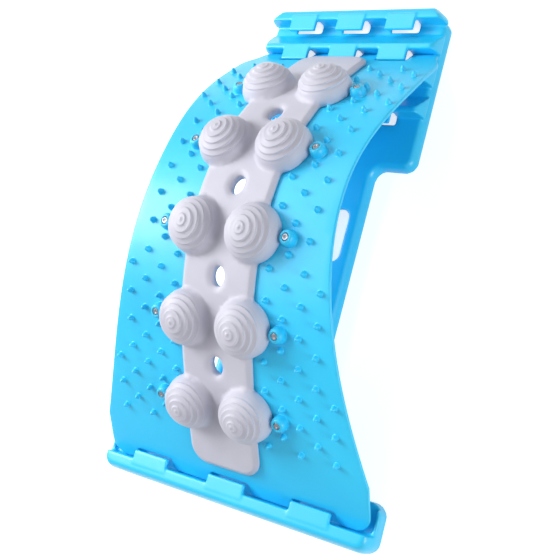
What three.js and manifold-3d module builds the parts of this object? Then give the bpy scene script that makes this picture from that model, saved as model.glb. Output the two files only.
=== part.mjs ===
// Arched back stretcher: a moulded base plate with rows of hooks, a springy arched board that
// stands between the foot trough and one row of hooks, a soft pad with ten massage domes on the
// board, and ten small magnets in bosses beside the domes.
// Millimetres. X runs across, Y from the foot rail to the head, Z up, and the plate stands on Z = 0.

import * as THREE from 'three';
import { mergeVertices } from 'three/addons/utils/BufferGeometryUtils.js';
import Module from 'manifold-3d';

const wasm = await Module();
wasm.setup();

// Driving dimensions

const OVERRUN = 3; // how far a cut runs past the faces that it opens
const GAP = 0.3; // clearance between two pieces that seat on each other
const SINK = 0.5; // how deep a joined feature starts inside its carrier

const BASE = {
  length: 405.5,
  wall: 2.6,
  deckHeight: 10,
  skirtInset: 5, // how far the rounded skirt edge draws in
  skirtRise: 8, // height of the rounded part of the skirt
  waistWidth: 95,
  waistCorner: 9,
};

const HEAD = {
  width: 159,
  depth: 130.8,
  innerCorner: 9.5,
  chamferWide: 14, // the outer corners are cut off this wide and this deep
  chamferDeep: 11.5,
  chamferCorner: 9.5,
  ridgeHeight: 22,
  shoulderInset: 6,
  shoulderRise: 16,
  endOverlap: 3.5, // how much less the outer end is drawn in than the sides
  lipDepth: 11.8, // from the outer end to the first ridge wall
  lipTop: 9, // from that wall to where the lip rounds down
  lipHeight: 20.4, // height where the lip rounds down
  lipEdge: 13, // height of the outer end
  rows: 4,
  seatRow: 2, // the row that holds the board
  rowPitch: 25.8,
  floorDepth: 9, // flat pocket floor in front of each ridge wall
  crest: 4, // flat top of each ridge, which the hooks grow from
};

const FOOT = {
  width: 243,
  depth: 35,
  corner: 10,
  rimHeight: 22,
  rimInset: 6,
  rimRise: 13.7,
  rimDepth: 13.3, // from the outer end to the trough
  endRim: 3.2, // from the end face to the trough
  endHeight: 13, // height of the low wall at each end of the trough
  troughCorner: 4,
};

const TAB = {
  thickness: 3,
  proud: 0.3, // how far a hook stands above the rim it grows from
  root: 4,
  tipRadius: 1,
  slotInset: 0.2, // how much narrower the slot under a head hook is, on each side
  slotTip: 3.5, // from the hook's tip back to the slot
  slotRoot: 3, // how far the slot runs on under the ridge
  slotCeiling: 2.4, // material left under the hook's root
};
const HEAD_TAB = { width: 24.3, length: 9.8, pitch: 44.1 };
const FOOT_TAB = { width: 33.2, length: 7, pitch: 73 };
const TAB_COLUMNS = [-1, 0, 1];

const WINDOW = { width: 14, length: 42, fromAxis: 30.4, pitch: 62, count: 3, fromHead: 35.5 };

const RIB = { thickness: 1.8, lift: 1, waistFromAxis: 14.5, waistPitch: 31 };

const BOARD = {
  thickness: 3,
  rise: 91.2, // height of the arch over its seats
  waist: 243, // along the arc from the foot end to the narrowest place
  waistWidth: 162.8,
  footWidth: 234.8,
  footReach: 207, // arc from the narrowest place to the full width
  headWidth: 177.8,
  headReach: 105,
  headNeck: 11, // how far the sides draw in before the head end
  headNeckLength: 28,
  footCorner: 13,
  headCorner: 5,
  notchSide: 1.1, // from a hook to the side of the notch that clears it
  notchTip: 0.9,
  footLobe: 5, // corner radius of the lobes between the foot notches
  headLobe: 2.5,
  notchCorner: 2,
};
const FLARE_POWER = 1.75; // how late the sides spread towards the foot
const BOW_SHARES = [1, -0.105, -0.045]; // harmonics of the bent board's slope

const PAD = {
  thickness: 4,
  width: 61,
  fromFoot: 18.8, // along the arc, from the board's end to the pad's
  fromHead: 16,
  corner: 14,
  rows: 5,
  middleRow: 198, // along the arc from the foot end
  rowPitch: 64,
  domeSpread: 49,
  domeDiameter: 41,
  domeHeight: 17.7,
  flangeHeight: 3,
  terraces: 6,
  terraceLedge: 0.9,
  holeWidth: 11.5,
  holeLength: 14.5,
  holeStep: 0.8, // how far the board shows inside a vent hole
};

const MAGNET = {
  diameter: 4.8,
  length: 3.2,
  chamfer: 0.4,
  dishDiameter: 2.2,
  dishDepth: 0.5,
  spread: 103,
  bossDiameter: 15.5,
  bossHeight: 6.5,
  bossTopDiameter: 7.6,
  socketDepth: 3.6,
};

const NODULE = {
  diameter: 5.4,
  tipDiameter: 1.6,
  height: 4.4,
  firstColumn: 39.4,
  columnPitch: 13.75,
  columns: 5,
  rowsPerDomeRow: 6,
  rowsBefore: 14,
  rowsAfter: 16,
  edgeMargin: 2.5,
  clearance: 0.2,
};

// Facet counts

const CORNER_SEGMENTS = 2; // a corner arc gets twice as many facets
const BEVEL_STEPS = 3;
const HOLLOW_STEPS = 1;
const EDGE_STEPS = 4;
const BOSS_STEPS = 3;
const ARC_SAMPLES = 400;
const SOLVE_TURNS = 40;
const SETTLE_TURNS = 6;
const BOARD_STEP = 9;
const PAD_STEP = 8;
const DOME_SIDES = 18;
const BOSS_SIDES = 12;
const MAGNET_SIDES = 12;
const HOLE_SIDES = 16;
const NODULE_SIDES = 5;

// Places worked out from the driving dimensions

const headEnd = BASE.length / 2;
const footEnd = -BASE.length / 2;
const headInner = headEnd - HEAD.depth;
const footInner = footEnd + FOOT.depth;
const footWall = footEnd + FOOT.rimDepth;
const ridgeWall = (row) => headEnd - HEAD.lipDepth - (row - 1) * HEAD.rowPitch;
const headRows = Array.from({ length: HEAD.rows }, (_, index) => index + 1);
const seatWall = ridgeWall(HEAD.seatRow);

// Materials, one a piece

const BLUE = 0x3fc6fb;
const plastic = () => new THREE.MeshStandardMaterial({ color: BLUE, roughness: 0.38, metalness: 0 });
const padMaterial = () => new THREE.MeshStandardMaterial({ color: 0xc9c8d8, roughness: 0.6, metalness: 0 });
const steel = () => new THREE.MeshStandardMaterial({ color: 0xb9bcc2, roughness: 0.28, metalness: 1 });

// Solids and meshes

function toSolid(geometry) {
  const bare = geometry.index ? geometry.toNonIndexed() : geometry.clone();
  bare.deleteAttribute('normal');
  bare.deleteAttribute('uv');
  const merged = mergeVertices(bare);
  return new wasm.Manifold(
    new wasm.Mesh({
      numProp: 3,
      vertProperties: Float32Array.from(merged.attributes.position.array),
      triVerts: Uint32Array.from(merged.index.array),
    }),
  );
}

function toMesh(name, solid, material) {
  const { vertProperties, triVerts } = solid.getMesh();
  const geometry = new THREE.BufferGeometry();
  geometry.setAttribute('position', new THREE.BufferAttribute(vertProperties, 3));
  geometry.setIndex(new THREE.BufferAttribute(triVerts, 1));
  geometry.computeVertexNormals();
  const mesh = new THREE.Mesh(geometry, material);
  mesh.name = name;
  return mesh;
}

const joinAll = (solids) => solids.reduce((whole, piece) => whole.add(piece));
const cutAll = (solid, cuts) => cuts.reduce((whole, cut) => whole.subtract(cut), solid);

// A block between two corners
function block(low, high) {
  const size = new THREE.Vector3().subVectors(high, low);
  const middle = new THREE.Vector3().addVectors(low, high).divideScalar(2);
  return toSolid(new THREE.BoxGeometry(size.x, size.y, size.z).translate(middle.x, middle.y, middle.z));
}

// A closed outline through [x, y, radius] corners, with an arc at each
function roundedShape(corners) {
  const shape = new THREE.Shape();
  const count = corners.length;
  corners.forEach(([x, y, radius], index) => {
    const here = new THREE.Vector2(x, y);
    const [beforeX, beforeY] = corners[(index + count - 1) % count];
    const [afterX, afterY] = corners[(index + 1) % count];
    const arriving = new THREE.Vector2(x - beforeX, y - beforeY).normalize();
    const leaving = new THREE.Vector2(afterX - x, afterY - y).normalize();
    const turn = Math.atan2(arriving.cross(leaving), arriving.dot(leaving));
    const side = Math.sign(turn);
    const reach = radius * Math.tan(Math.abs(turn) / 2);
    const start = here.clone().addScaledVector(arriving, -reach);
    const inward = new THREE.Vector2(-arriving.y, arriving.x).multiplyScalar(side);
    const centre = start.clone().addScaledVector(inward, radius);
    const from = Math.atan2(-inward.y, -inward.x);
    if (index === 0) shape.moveTo(start.x, start.y);
    else shape.lineTo(start.x, start.y);
    shape.absarc(centre.x, centre.y, radius, from, from + turn, side < 0);
  });
  shape.closePath();
  return shape;
}

// A slab with a rounded top edge: its outline is the shape drawn in by inset, its top is at top
function domedSlab(shape, top, edgeInset, edgeRise, inset) {
  const geometry = new THREE.ExtrudeGeometry(shape, {
    depth: top,
    bevelEnabled: true,
    bevelThickness: edgeRise,
    bevelSize: edgeInset,
    bevelOffset: -edgeInset - inset,
    bevelSegments: inset > 0 ? HOLLOW_STEPS : BEVEL_STEPS,
    curveSegments: CORNER_SEGMENTS,
  });
  return toSolid(geometry.translate(0, 0, -edgeRise));
}

// A prism along X of a profile drawn in Y and Z
function prismAlongX(profile, from, to) {
  const geometry = new THREE.ExtrudeGeometry(profile, {
    depth: to - from,
    bevelEnabled: false,
    curveSegments: CORNER_SEGMENTS,
  });
  const turn = new THREE.Matrix4().makeBasis(
    new THREE.Vector3(0, 1, 0),
    new THREE.Vector3(0, 0, 1),
    new THREE.Vector3(1, 0, 0),
  );
  return toSolid(geometry.applyMatrix4(turn).translate(from, 0, 0));
}

// A prism along Z of a shape drawn in X and Y
function prismAlongZ(shape, from, to) {
  const geometry = new THREE.ExtrudeGeometry(shape, {
    depth: to - from,
    bevelEnabled: false,
    curveSegments: CORNER_SEGMENTS,
  });
  return toSolid(geometry.translate(0, 0, from));
}

const mirroredAcrossX = (corners) => [...corners, ...corners.map(([x, y, r]) => [-x, y, r]).reverse()];

// Base plate

const headCorners = (end) => [
  [HEAD.width / 2, headInner, HEAD.innerCorner],
  [HEAD.width / 2, end - HEAD.chamferDeep, HEAD.chamferCorner],
  [HEAD.width / 2 - HEAD.chamferWide, end, HEAD.chamferCorner],
];

const planShape = roundedShape(
  mirroredAcrossX([
    [FOOT.width / 2, footEnd, FOOT.corner],
    [FOOT.width / 2, footInner, FOOT.corner],
    [BASE.waistWidth / 2, footInner, BASE.waistCorner],
    [BASE.waistWidth / 2, headInner, BASE.waistCorner],
    ...headCorners(headEnd),
  ]),
);

const headShape = roundedShape(mirroredAcrossX(headCorners(headEnd + HEAD.endOverlap)));

const footShape = roundedShape(
  mirroredAcrossX([
    [FOOT.width / 2, footEnd, FOOT.corner],
    [FOOT.width / 2, footInner, FOOT.corner],
  ]),
);

// The saw-tooth section of the head, from the deck over every ridge to the outer end
function ridgeProfile(drop, wall) {
  const deck = BASE.deckHeight - drop;
  const top = HEAD.ridgeHeight - drop;
  const profile = new THREE.Shape();
  profile.moveTo(headInner, 0);
  profile.lineTo(headInner, deck);
  for (const row of [...headRows].reverse()) {
    const face = ridgeWall(row) + wall;
    profile.lineTo(face, deck);
    profile.lineTo(face, top);
    if (row === 1) continue;
    profile.lineTo(ridgeWall(row) + HEAD.crest, top);
    profile.lineTo(ridgeWall(row - 1) - HEAD.floorDepth, deck);
  }
  profile.lineTo(ridgeWall(1) + HEAD.lipTop - drop, HEAD.lipHeight - drop);
  profile.lineTo(headEnd - drop, HEAD.lipEdge - drop);
  profile.lineTo(headEnd - drop, 0);
  profile.closePath();
  return profile;
}

function ridgeBlock(drop) {
  const slab = domedSlab(headShape, HEAD.ridgeHeight - drop, HEAD.shoulderInset, HEAD.shoulderRise, drop);
  return slab.intersect(prismAlongX(ridgeProfile(drop, drop), -HEAD.width, HEAD.width));
}

// The trough behind the foot rim, grown by wall for the hollow under it, with a low wall at its ends
function trough(wall) {
  const cut = (half, floor) => {
    const corner = FOOT.troughCorner + wall;
    const shape = roundedShape(
      mirroredAcrossX([
        [half, footWall - wall, corner],
        [half, footInner + FOOT.depth, corner],
      ]),
    );
    return prismAlongZ(shape, floor - wall, FOOT.rimHeight + OVERRUN);
  };
  const inner = cut(FOOT.width / 2 - FOOT.endRim + wall, BASE.deckHeight);
  return inner.add(cut(FOOT.width / 2 + OVERRUN + wall, FOOT.endHeight));
}

function rimBlock(drop) {
  const slab = domedSlab(footShape, FOOT.rimHeight - drop, FOOT.rimInset, FOOT.rimRise, drop);
  return slab.subtract(trough(drop));
}

function baseBody(drop) {
  const deck = domedSlab(planShape, BASE.deckHeight - drop, BASE.skirtInset, BASE.skirtRise, drop);
  return joinAll([deck, ridgeBlock(drop), rimBlock(drop)]);
}

// Ribs under the deck, cut to the outside of the plate
function ribs() {
  const half = RIB.thickness / 2;
  const reach = FOOT.width;
  const along = (x, from, to) =>
    block(new THREE.Vector3(x - half, from, RIB.lift), new THREE.Vector3(x + half, to, HEAD.ridgeHeight));
  const across = (y, from, to) =>
    block(new THREE.Vector3(from, y - half, RIB.lift), new THREE.Vector3(to, y + half, HEAD.ridgeHeight));
  const pieces = [];
  for (const side of [-1, 1]) {
    pieces.push(along(side * RIB.waistFromAxis, footWall, ridgeWall(HEAD.rows)));
    pieces.push(along((side * HEAD_TAB.pitch) / 2, headInner, headEnd));
    pieces.push(along((side * FOOT_TAB.pitch) / 2, footEnd, footInner));
  }
  for (const row of headRows) pieces.push(across(ridgeWall(row) + BASE.wall / 2, -reach, reach));
  for (let y = headInner; y > footInner; y -= RIB.waistPitch) pieces.push(across(y, -reach, reach));
  return joinAll(pieces);
}

// One flat hook that reaches from a wall over the pocket at its foot; facing is the way it points
function hook(tab, x, wallY, facing) {
  const top = HEAD.ridgeHeight + TAB.proud;
  const underside = top - TAB.thickness;
  const tip = wallY + facing * tab.length;
  const root = wallY - facing * TAB.root;
  const corners = [
    [root, underside, SINK],
    [tip, underside, SINK],
    [tip, top, TAB.tipRadius],
    [root, top, SINK],
  ];
  const ordered = facing > 0 ? corners : corners.reverse();
  return prismAlongX(roundedShape(ordered), x - tab.width / 2, x + tab.width / 2);
}

// The opening under a head hook, through the floor and the foot of the ridge
function hookSlot(x, wallY) {
  const half = HEAD_TAB.width / 2 - TAB.slotInset;
  const top = HEAD.ridgeHeight + TAB.proud - TAB.thickness - TAB.slotCeiling;
  return block(
    new THREE.Vector3(x - half, wallY - HEAD_TAB.length + TAB.slotTip, -OVERRUN),
    new THREE.Vector3(x + half, wallY + TAB.slotRoot, top),
  );
}

function waistWindows() {
  const cuts = [];
  for (const side of [-1, 1]) {
    for (let index = 0; index < WINDOW.count; index += 1) {
      const x = side * WINDOW.fromAxis;
      const high = headInner - WINDOW.fromHead - index * WINDOW.pitch;
      const corner = WINDOW.width / 2;
      const shape = roundedShape([
        [x - corner, high - WINDOW.length, corner],
        [x + corner, high - WINDOW.length, corner],
        [x + corner, high, corner],
        [x - corner, high, corner],
      ]);
      cuts.push(prismAlongZ(shape, -OVERRUN, BASE.deckHeight + OVERRUN));
    }
  }
  return cuts;
}

function makeBase() {
  const outside = baseBody(0);
  const below = block(
    new THREE.Vector3(-BASE.length, -BASE.length, -BASE.length),
    new THREE.Vector3(BASE.length, BASE.length, 0),
  );
  const body = outside.subtract(below);
  const shell = body.subtract(baseBody(BASE.wall)).add(ribs().intersect(body));
  const cuts = waistWindows();
  const hooks = [];
  for (const column of TAB_COLUMNS) {
    for (const row of headRows) {
      cuts.push(hookSlot(column * HEAD_TAB.pitch, ridgeWall(row)));
      hooks.push(hook(HEAD_TAB, column * HEAD_TAB.pitch, ridgeWall(row), -1));
    }
    hooks.push(hook(FOOT_TAB, column * FOOT_TAB.pitch, footWall, 1));
  }
  return joinAll([cutAll(shell, cuts), ...hooks]);
}

// The arch: a springy strip pushed in at its ends. Its slope follows a cosine and two small
// harmonics along its length, and a tilt brings both ends to their seats

const bowAt = (share) =>
  BOW_SHARES.reduce((sum, part, index) => sum + part * Math.cos((index + 1) * Math.PI * share), 0);

function integrate(bow, tilt) {
  const places = [{ y: 0, z: 0, slope: tilt + bow * bowAt(0) }];
  const step = 1 / ARC_SAMPLES;
  for (let index = 1; index <= ARC_SAMPLES; index += 1) {
    const last = places[index - 1];
    const middle = tilt + bow * bowAt((index - 1 / 2) * step);
    const slope = tilt + bow * bowAt(index * step);
    places.push({ y: last.y + Math.cos(middle) * step, z: last.z + Math.sin(middle) * step, slope });
  }
  return places;
}

// The bent strip whose far end lies climb higher than its near end
function levelled(bow, span, climb) {
  let tilt = 0;
  let places = integrate(bow, tilt);
  for (let turn = 0; turn < SETTLE_TURNS; turn += 1) {
    const end = places[ARC_SAMPLES];
    tilt += Math.atan2(climb, span) - Math.atan2(end.z, end.y);
    places = integrate(bow, tilt);
  }
  return places;
}

function solveArch(span, climb, rise) {
  let low = 0;
  let high = Math.PI / 2;
  const ratio = (places) => Math.max(...places.map(({ z }) => z)) / places[ARC_SAMPLES].y;
  for (let turn = 0; turn < SOLVE_TURNS; turn += 1) {
    const middle = (low + high) / 2;
    if (ratio(levelled(middle, span, climb)) < rise / span) low = middle;
    else high = middle;
  }
  const places = levelled(low, span, climb);
  return {
    places,
    length: span / places[ARC_SAMPLES].y,
    footSlope: places[0].slope,
    headSlope: -places[ARC_SAMPLES].slope,
  };
}

// The board's ends stand off the walls and floors of their seats by the gap
function makeArch() {
  const half = BOARD.thickness / 2;
  const seat = (slope) => ({ back: GAP + half * Math.sin(slope), up: GAP + half * Math.cos(slope) });
  let arch = { footSlope: Math.PI / 4, headSlope: Math.PI / 4 };
  let start;
  for (let pass = 0; pass < SETTLE_TURNS; pass += 1) {
    const foot = seat(arch.footSlope);
    const head = seat(arch.headSlope);
    start = { y: footWall + foot.back, z: BASE.deckHeight + foot.up };
    arch = solveArch(seatWall - head.back - start.y, head.up - foot.up, BOARD.rise);
  }
  return { ...arch, start };
}

const arch = makeArch();

// Height h over the middle of the board, x across and s along the arc, as a point in space
function stationAt(s) {
  const share = THREE.MathUtils.clamp(s / arch.length, 0, 1);
  const index = Math.min(Math.floor(share * ARC_SAMPLES), ARC_SAMPLES - 1);
  const part = share * ARC_SAMPLES - index;
  const a = arch.places[index];
  const b = arch.places[index + 1];
  const slope = THREE.MathUtils.lerp(a.slope, b.slope, part);
  const beyond = s - share * arch.length;
  return {
    slope,
    y: arch.start.y + THREE.MathUtils.lerp(a.y, b.y, part) * arch.length + beyond * Math.cos(slope),
    z: arch.start.z + THREE.MathUtils.lerp(a.z, b.z, part) * arch.length + beyond * Math.sin(slope),
  };
}

function onArch(s, x, h) {
  const { slope, y, z } = stationAt(s);
  return new THREE.Vector3(x, y - h * Math.sin(slope), z + h * Math.cos(slope));
}

// A turn and move that stands a lathed piece on the arch, its axis square to the board
function standOnArch(s, x, h) {
  const { slope } = stationAt(s);
  const normal = new THREE.Vector3(0, -Math.sin(slope), Math.cos(slope));
  const across = new THREE.Vector3(1, 0, 0);
  const along = new THREE.Vector3().crossVectors(across, normal);
  const matrix = new THREE.Matrix4().makeBasis(across, normal, along);
  return matrix.setPosition(onArch(s, x, h));
}

// Bends a flat geometry round the arch: toArch turns each of its points into s, x and h
function bend(geometry, toArch) {
  const position = geometry.attributes.position;
  const point = new THREE.Vector3();
  for (let index = 0; index < position.count; index += 1) {
    point.fromBufferAttribute(position, index);
    const { s, x, h } = toArch(point);
    const bent = onArch(s, x, h);
    position.setXYZ(index, bent.x, bent.y, bent.z);
  }
  return geometry;
}

const smooth = (share) => {
  const held = THREE.MathUtils.clamp(share, 0, 1);
  return (1 - Math.cos(Math.PI * held)) / 2;
};

// Half the board's width along its arc: a waist, a flare each way, and a neck before the head end
function boardHalfWidth(s) {
  const waist = BOARD.waistWidth / 2;
  if (s < BOARD.waist) {
    const share = Math.min((BOARD.waist - s) / BOARD.footReach, 1);
    return waist + (BOARD.footWidth / 2 - waist) * share ** FLARE_POWER;
  }
  const flare = (BOARD.headWidth / 2 - waist) * smooth((s - BOARD.waist) / BOARD.headReach);
  return waist + flare - BOARD.headNeck * smooth(1 - (arch.length - s) / BOARD.headNeckLength);
}

// How far a rounded corner cuts into the side at this distance from the end
function cornerCut(distance, radius) {
  if (distance >= radius) return 0;
  return radius - Math.sqrt(radius * radius - (radius - distance) ** 2);
}

// Stations along a strip: close together round the end corners and even between them
function stations(from, to, fromCorner, toCorner, step) {
  const round = (corner) => {
    const end = [];
    for (let index = 0; index <= EDGE_STEPS; index += 1) {
      end.push(corner * (1 - Math.cos((Math.PI / 2) * (index / EDGE_STEPS))));
    }
    return end;
  };
  const straight = to - toCorner - (from + fromCorner);
  const count = Math.ceil(straight / step);
  const middle = [];
  for (let index = 1; index < count; index += 1) {
    middle.push(from + fromCorner + (straight * index) / count);
  }
  const start = round(fromCorner).map((d) => from + d);
  const finish = round(toCorner).map((d) => to - d);
  return [...start, ...middle, ...finish.reverse()];
}

// A bent strip of given half width, between two heights over the board's middle
function strip(places, halfWidth, low, high) {
  const rows = places.length - 1;
  const flat = new THREE.BoxGeometry(1, 1, 1, 1, rows, 1);
  return toSolid(
    bend(flat, (point) => {
      const s = places[Math.round((point.y + 1 / 2) * rows)];
      return { s, x: 2 * point.x * halfWidth(s), h: THREE.MathUtils.lerp(low, high, point.z + 1 / 2) };
    }),
  );
}

const domeRowAt = (row) => PAD.middleRow + row * PAD.rowPitch;
const padEnds = { from: PAD.fromFoot, to: arch.length - PAD.fromHead };
// The rows of domes that fit on the pad, counted from the middle one
const domeRows = Array.from({ length: PAD.rows }, (_, index) => index - (PAD.rows - 1) / 2).filter((row) => {
  const reach = PAD.domeDiameter / 2;
  return domeRowAt(row) - reach > padEnds.from && domeRowAt(row) + reach < padEnds.to;
});
const holeRowsAt = domeRows.slice(1).map((row) => domeRowAt(row - 1 / 2));
const boardTop = BOARD.thickness / 2;
const padBottom = boardTop + GAP;
const padTop = padBottom + PAD.thickness;

const notchDepth = (tab, slope) => (tab.length + BOARD.notchTip - GAP) / Math.cos(slope);

// The notch in a board end that lets one hook through, with rounded lobes beside it
function notch(tab, x, atHead) {
  const half = tab.width / 2 + BOARD.notchSide;
  const slope = atHead ? arch.headSlope : arch.footSlope;
  const depth = notchDepth(tab, slope);
  const lobe = atHead ? BOARD.headLobe : BOARD.footLobe;
  const mouth = half + 2 * lobe;
  const shape = roundedShape([
    [-mouth, -depth, SINK],
    [mouth, -depth, SINK],
    [mouth, 0, SINK],
    [half, 0, lobe],
    [half, depth, BOARD.notchCorner],
    [-half, depth, BOARD.notchCorner],
    [-half, 0, lobe],
    [-mouth, 0, SINK],
  ]);
  const cut = new THREE.ExtrudeGeometry(shape, {
    depth: BOARD.thickness + 2 * OVERRUN,
    bevelEnabled: false,
    curveSegments: CORNER_SEGMENTS,
  });
  cut.translate(0, 0, -boardTop - OVERRUN);
  const way = atHead ? -1 : 1;
  const from = atHead ? arch.length : 0;
  return toSolid(bend(cut, (point) => ({ s: from + way * point.y, x: x + way * point.x, h: point.z })));
}

function lathed(profile, sides) {
  return new THREE.LatheGeometry(
    profile.map(([r, y]) => new THREE.Vector2(r, y)),
    sides,
  );
}

// The domed boss that holds one magnet
function boss(s, x) {
  const radius = MAGNET.bossDiameter / 2;
  const topRadius = MAGNET.bossTopDiameter / 2;
  const last = Math.acos(topRadius / radius);
  const profile = [
    [0, -SINK],
    [radius, -SINK],
  ];
  for (let index = 0; index <= BOSS_STEPS; index += 1) {
    const angle = (last * index) / BOSS_STEPS;
    const height = (MAGNET.bossHeight * Math.sin(angle)) / Math.sin(last);
    profile.push([radius * Math.cos(angle), height]);
  }
  profile.push([0, MAGNET.bossHeight]);
  return toSolid(lathed(profile, BOSS_SIDES).applyMatrix4(standOnArch(s, x, boardTop)));
}

// Room for the foot of a dome, cut from the bosses that it stands against
function domeRoom(s, x) {
  const radius = PAD.domeDiameter / 2 + GAP;
  const cylinder = new THREE.CylinderGeometry(radius, radius, MAGNET.bossHeight + OVERRUN, DOME_SIDES, 1);
  cylinder.translate(0, (MAGNET.bossHeight + OVERRUN) / 2, 0);
  return toSolid(bend(cylinder, (point) => ({ s: s - point.z, x: x + point.x, h: boardTop + point.y })));
}

// An oval cut square to the board, so wide across it and so long along the arc
function ovalCut(s, x, width, length, low, high) {
  const cylinder = new THREE.CylinderGeometry(1, 1, high - low, HOLE_SIDES);
  cylinder.scale(width / 2, 1, length / 2).translate(0, (low + high) / 2, 0);
  return toSolid(cylinder.applyMatrix4(standOnArch(s, x, 0)));
}

function nodule(s, x) {
  const height = NODULE.height + SINK;
  const cone = new THREE.CylinderGeometry(NODULE.tipDiameter / 2, NODULE.diameter / 2, height, NODULE_SIDES);
  cone.translate(0, height / 2 - SINK, 0);
  return toSolid(cone.applyMatrix4(standOnArch(s, x, boardTop)));
}

// Whether a nodule fits at this place: inside the board's edge and clear of pad, domes and bosses
function noduleFits(s, x) {
  const radius = NODULE.diameter / 2;
  const room = radius + NODULE.clearance;
  if (x + radius + NODULE.edgeMargin > boardHalfWidth(s)) return false;
  if (s < notchDepth(FOOT_TAB, arch.footSlope) + room) return false;
  if (s > arch.length - notchDepth(HEAD_TAB, arch.headSlope) - room) return false;
  const overPad = s > padEnds.from - room && s < padEnds.to + room;
  if (overPad && x < PAD.width / 2 + room) return false;
  return domeRows.every((row) => {
    const along = s - domeRowAt(row);
    const toDome = Math.hypot(along, x - PAD.domeSpread / 2);
    const toBoss = Math.hypot(along, x - MAGNET.spread / 2);
    return toDome > PAD.domeDiameter / 2 + room && toBoss > MAGNET.bossDiameter / 2 + room;
  });
}

// Nodules on a staggered lattice that keeps step with the dome rows
function nodules() {
  const cones = [];
  const rowStep = PAD.rowPitch / NODULE.rowsPerDomeRow;
  for (let row = -NODULE.rowsBefore; row <= NODULE.rowsAfter; row += 1) {
    for (let column = 0; column < NODULE.columns; column += 1) {
      if ((row + column) % 2 !== 0) continue;
      const s = PAD.middleRow + row * rowStep;
      const x = NODULE.firstColumn + column * NODULE.columnPitch;
      if (noduleFits(s, x)) cones.push(nodule(s, x), nodule(s, -x));
    }
  }
  return cones;
}

const magnetPlaces = domeRows.flatMap((row, index) =>
  [-1, 1].map((side) => ({
    name: `magnet_${side < 0 ? 'left' : 'right'}_${index + 1}`,
    s: domeRowAt(row),
    x: (side * MAGNET.spread) / 2,
  })),
);
const bossTop = boardTop + MAGNET.bossHeight;
const socketFloor = bossTop - MAGNET.socketDepth;

function makeBoard() {
  const width = (s) =>
    boardHalfWidth(s) - cornerCut(s, BOARD.footCorner) - cornerCut(arch.length - s, BOARD.headCorner);
  const places = stations(0, arch.length, BOARD.footCorner, BOARD.headCorner, BOARD_STEP);
  const sheet = strip(places, width, -boardTop, boardTop);
  const bosses = magnetPlaces.map(({ s, x }) =>
    boss(s, x).subtract(domeRoom(s, (Math.sign(x) * PAD.domeSpread) / 2)),
  );
  const socket = MAGNET.diameter + 2 * GAP;
  const cuts = magnetPlaces.map(({ s, x }) => ovalCut(s, x, socket, socket, socketFloor, bossTop + OVERRUN));
  const holeWidth = PAD.holeWidth - 2 * PAD.holeStep;
  const holeLength = PAD.holeLength - 2 * PAD.holeStep;
  for (const s of holeRowsAt) {
    cuts.push(ovalCut(s, 0, holeWidth, holeLength, -boardTop - OVERRUN, boardTop + OVERRUN));
  }
  for (const column of TAB_COLUMNS) {
    cuts.push(notch(FOOT_TAB, column * FOOT_TAB.pitch, false));
    cuts.push(notch(HEAD_TAB, column * HEAD_TAB.pitch, true));
  }
  return cutAll(joinAll([sheet, ...bosses, ...nodules()]), cuts);
}

// Massage pad

// 1 makes the domes ball-like, more makes them leaner
const DOME_POWER = 1.2;

// One dome: a round flange and terraces that climb to a blunt top, bent with the pad
function dome(s, x) {
  const radius = PAD.domeDiameter / 2;
  const height = PAD.thickness + PAD.domeHeight - PAD.flangeHeight;
  const ring = (index) => {
    const angle = ((Math.PI / 2) * index) / PAD.terraces;
    return {
      r: radius * Math.cos(angle) ** DOME_POWER,
      level: PAD.flangeHeight + height * Math.sin(angle) ** DOME_POWER,
    };
  };
  const profile = [
    [0, 0],
    [radius, 0],
    [radius, PAD.flangeHeight],
  ];
  for (let index = 1; index < PAD.terraces; index += 1) {
    const { r, level } = ring(index);
    profile.push([r + PAD.terraceLedge, (level + ring(index - 1).level) / 2], [r, level]);
  }
  profile.push([0, PAD.flangeHeight + height]);
  return toSolid(
    bend(lathed(profile, DOME_SIDES), (point) => ({
      s: s - point.z,
      x: x + point.x,
      h: padBottom + SINK + point.y * (1 - SINK / (PAD.thickness + PAD.domeHeight)),
    })),
  );
}

function makePad() {
  const { from, to } = padEnds;
  const width = (s) => PAD.width / 2 - cornerCut(Math.min(s - from, to - s), PAD.corner);
  const sheet = strip(stations(from, to, PAD.corner, PAD.corner, PAD_STEP), width, padBottom, padTop);
  const domes = domeRows.flatMap((row) =>
    [-1, 1].map((side) => dome(domeRowAt(row), (side * PAD.domeSpread) / 2)),
  );
  const holes = holeRowsAt.map((s) =>
    ovalCut(s, 0, PAD.holeWidth, PAD.holeLength, padBottom - OVERRUN, padTop + OVERRUN),
  );
  return cutAll(joinAll([sheet, ...domes]), holes);
}

// Magnets: short pins with a small dished face, each standing in its boss

function makeMagnet({ name, s, x }) {
  const radius = MAGNET.diameter / 2;
  const dish = MAGNET.dishDiameter / 2;
  const profile = [
    [0, 0],
    [radius, 0],
    [radius, MAGNET.length - MAGNET.chamfer],
    [radius - MAGNET.chamfer, MAGNET.length],
    [dish, MAGNET.length],
    [0, MAGNET.length - MAGNET.dishDepth],
  ];
  const mesh = toMesh(name, toSolid(lathed(profile, MAGNET_SIDES)), steel());
  mesh.applyMatrix4(standOnArch(s, x, socketFloor + GAP));
  return mesh;
}

// The object

const stretcher = new THREE.Group();
stretcher.name = 'arched_back_stretcher';
stretcher.add(toMesh('base_plate', makeBase(), plastic()));

const archedBoard = new THREE.Group();
archedBoard.add(toMesh('arch_board', makeBoard(), plastic()));
archedBoard.add(toMesh('massage_pad', makePad(), padMaterial()));
for (const place of magnetPlaces) archedBoard.add(makeMagnet(place));
stretcher.add(archedBoard);

export default stretcher;
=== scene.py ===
# The looks of the arched back stretcher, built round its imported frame: a moulded base, the sprung
# board with its nodules and bosses, the soft massage pad with ten terraced domes, and ten pins.
# Dimensions are in millimetres and meshes are scaled to metres as they are made.
import math

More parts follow.
